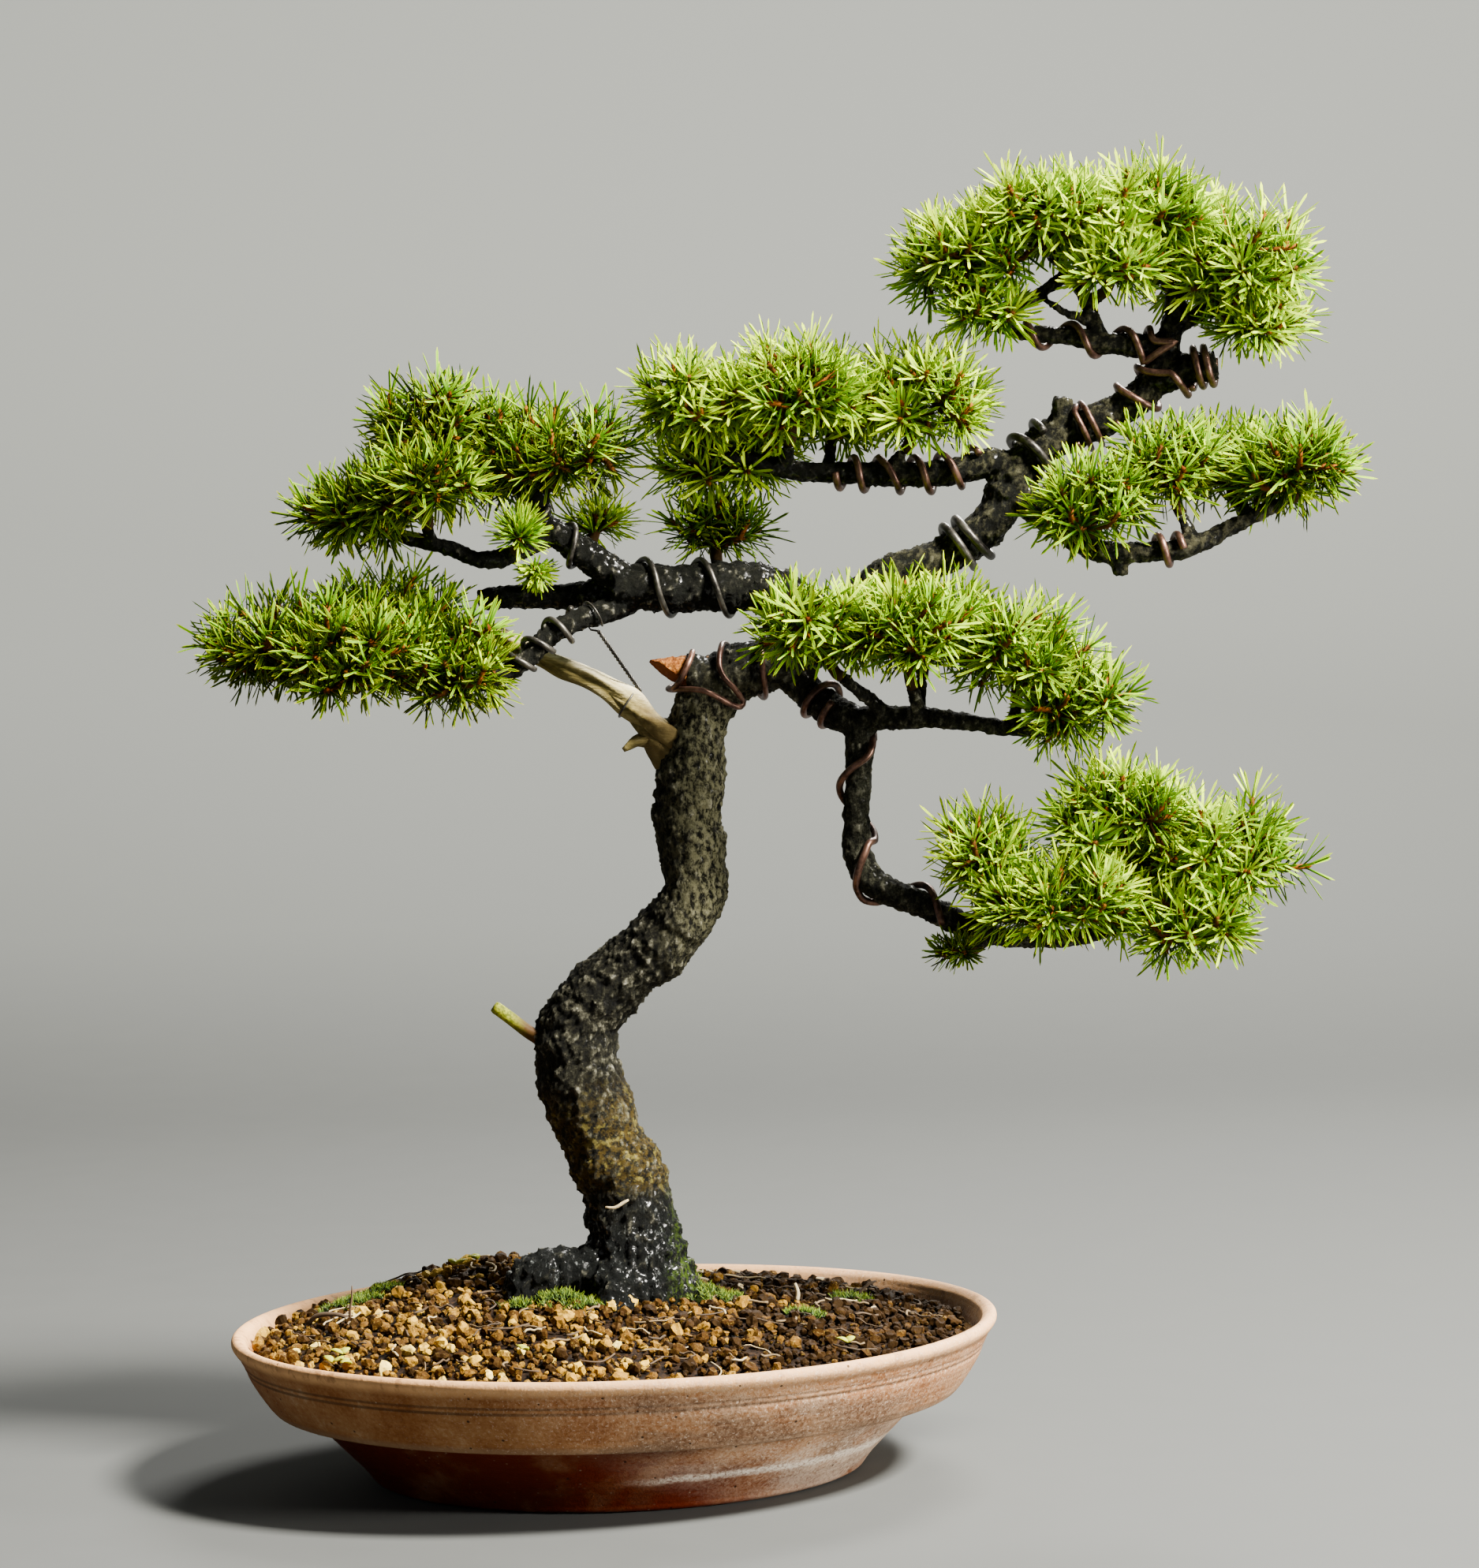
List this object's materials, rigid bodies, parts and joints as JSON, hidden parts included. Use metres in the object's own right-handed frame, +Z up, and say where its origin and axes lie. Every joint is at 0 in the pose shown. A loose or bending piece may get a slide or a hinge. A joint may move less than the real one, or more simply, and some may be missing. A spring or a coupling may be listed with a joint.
{
  "type": "spruce bonsai",
  "caption": "Small needle conifer with an S-curved trunk and flat foliage pads, wired in training, in a round shallow stoneware pot.",
  "frame": {"origin": "centre of the pot's flat underside, where it rests", "axes": "+Z up; -Y to the front, the side the picture shows; +X to the side that the tree leans to"},
  "size_m": [0.4269, 0.28, 0.471],
  "materials": {
    "stoneware": "unglazed red-brown stoneware with throwing lines",
    "soil": "ochre grains",
    "bark": "rough dark bark, with pale deadwood and one orange cut stub",
    "needles": "living shoots with yellow-green needles",
    "copper_wire": "copper-coloured anodised",
    "dark_wire": "dark anodised",
    "screen": "black plastic mesh"
  },
  "bodies": {
    "root": {"pot": "stoneware", "drain_screen_left": "screen", "drain_screen_right": "screen", "soil": "soil", "tree": "bark", "wire_bend": "copper_wire", "wire_junction": "copper_wire", "wire_drop": "copper_wire", "wire_centre": "copper_wire", "wire_knot": "dark_wire", "wire_knot_right": "copper_wire", "wire_upper_trunk": "dark_wire", "wire_crown": "copper_wire", "wire_crown_stub": "copper_wire", "wire_left": "dark_wire", "wire_lower_left": "dark_wire", "wire_right": "copper_wire", "guy_wire": "dark_wire", "pad_a_1": "needles", "pad_a_2": "needles", "pad_a_3": "needles", "pad_a_4": "needles", "pad_b_1": "needles", "pad_b_2": "needles", "pad_b_3": "needles", "pad_b_4": "needles", "pad_b_5": "needles", "tuft_left": "needles", "tuft_back": "needles", "tuft_centre": "needles", "pad_c_1": "needles", "pad_c_2": "needles", "pad_c_3": "needles", "pad_c_4": "needles", "pad_c_5": "needles", "pad_g_1": "needles", "pad_g_2": "needles", "pad_g_3": "needles", "pad_g_4": "needles", "pad_g_5": "needles", "pad_g_6": "needles", "pad_g_7": "needles", "pad_g_8": "needles", "pad_g_9": "needles", "pad_d_1": "needles", "pad_d_2": "needles", "pad_d_3": "needles", "pad_d_4": "needles", "pad_e_1": "needles", "pad_e_2": "needles", "pad_e_3": "needles", "pad_e_4": "needles", "pad_e_5": "needles", "pad_f_1": "needles", "pad_f_2": "needles", "pad_f_3": "needles", "pad_f_4": "needles", "pad_f_5": "needles", "pad_f_6": "needles", "tuft_low": "needles"}
  },
  "joints": []
}
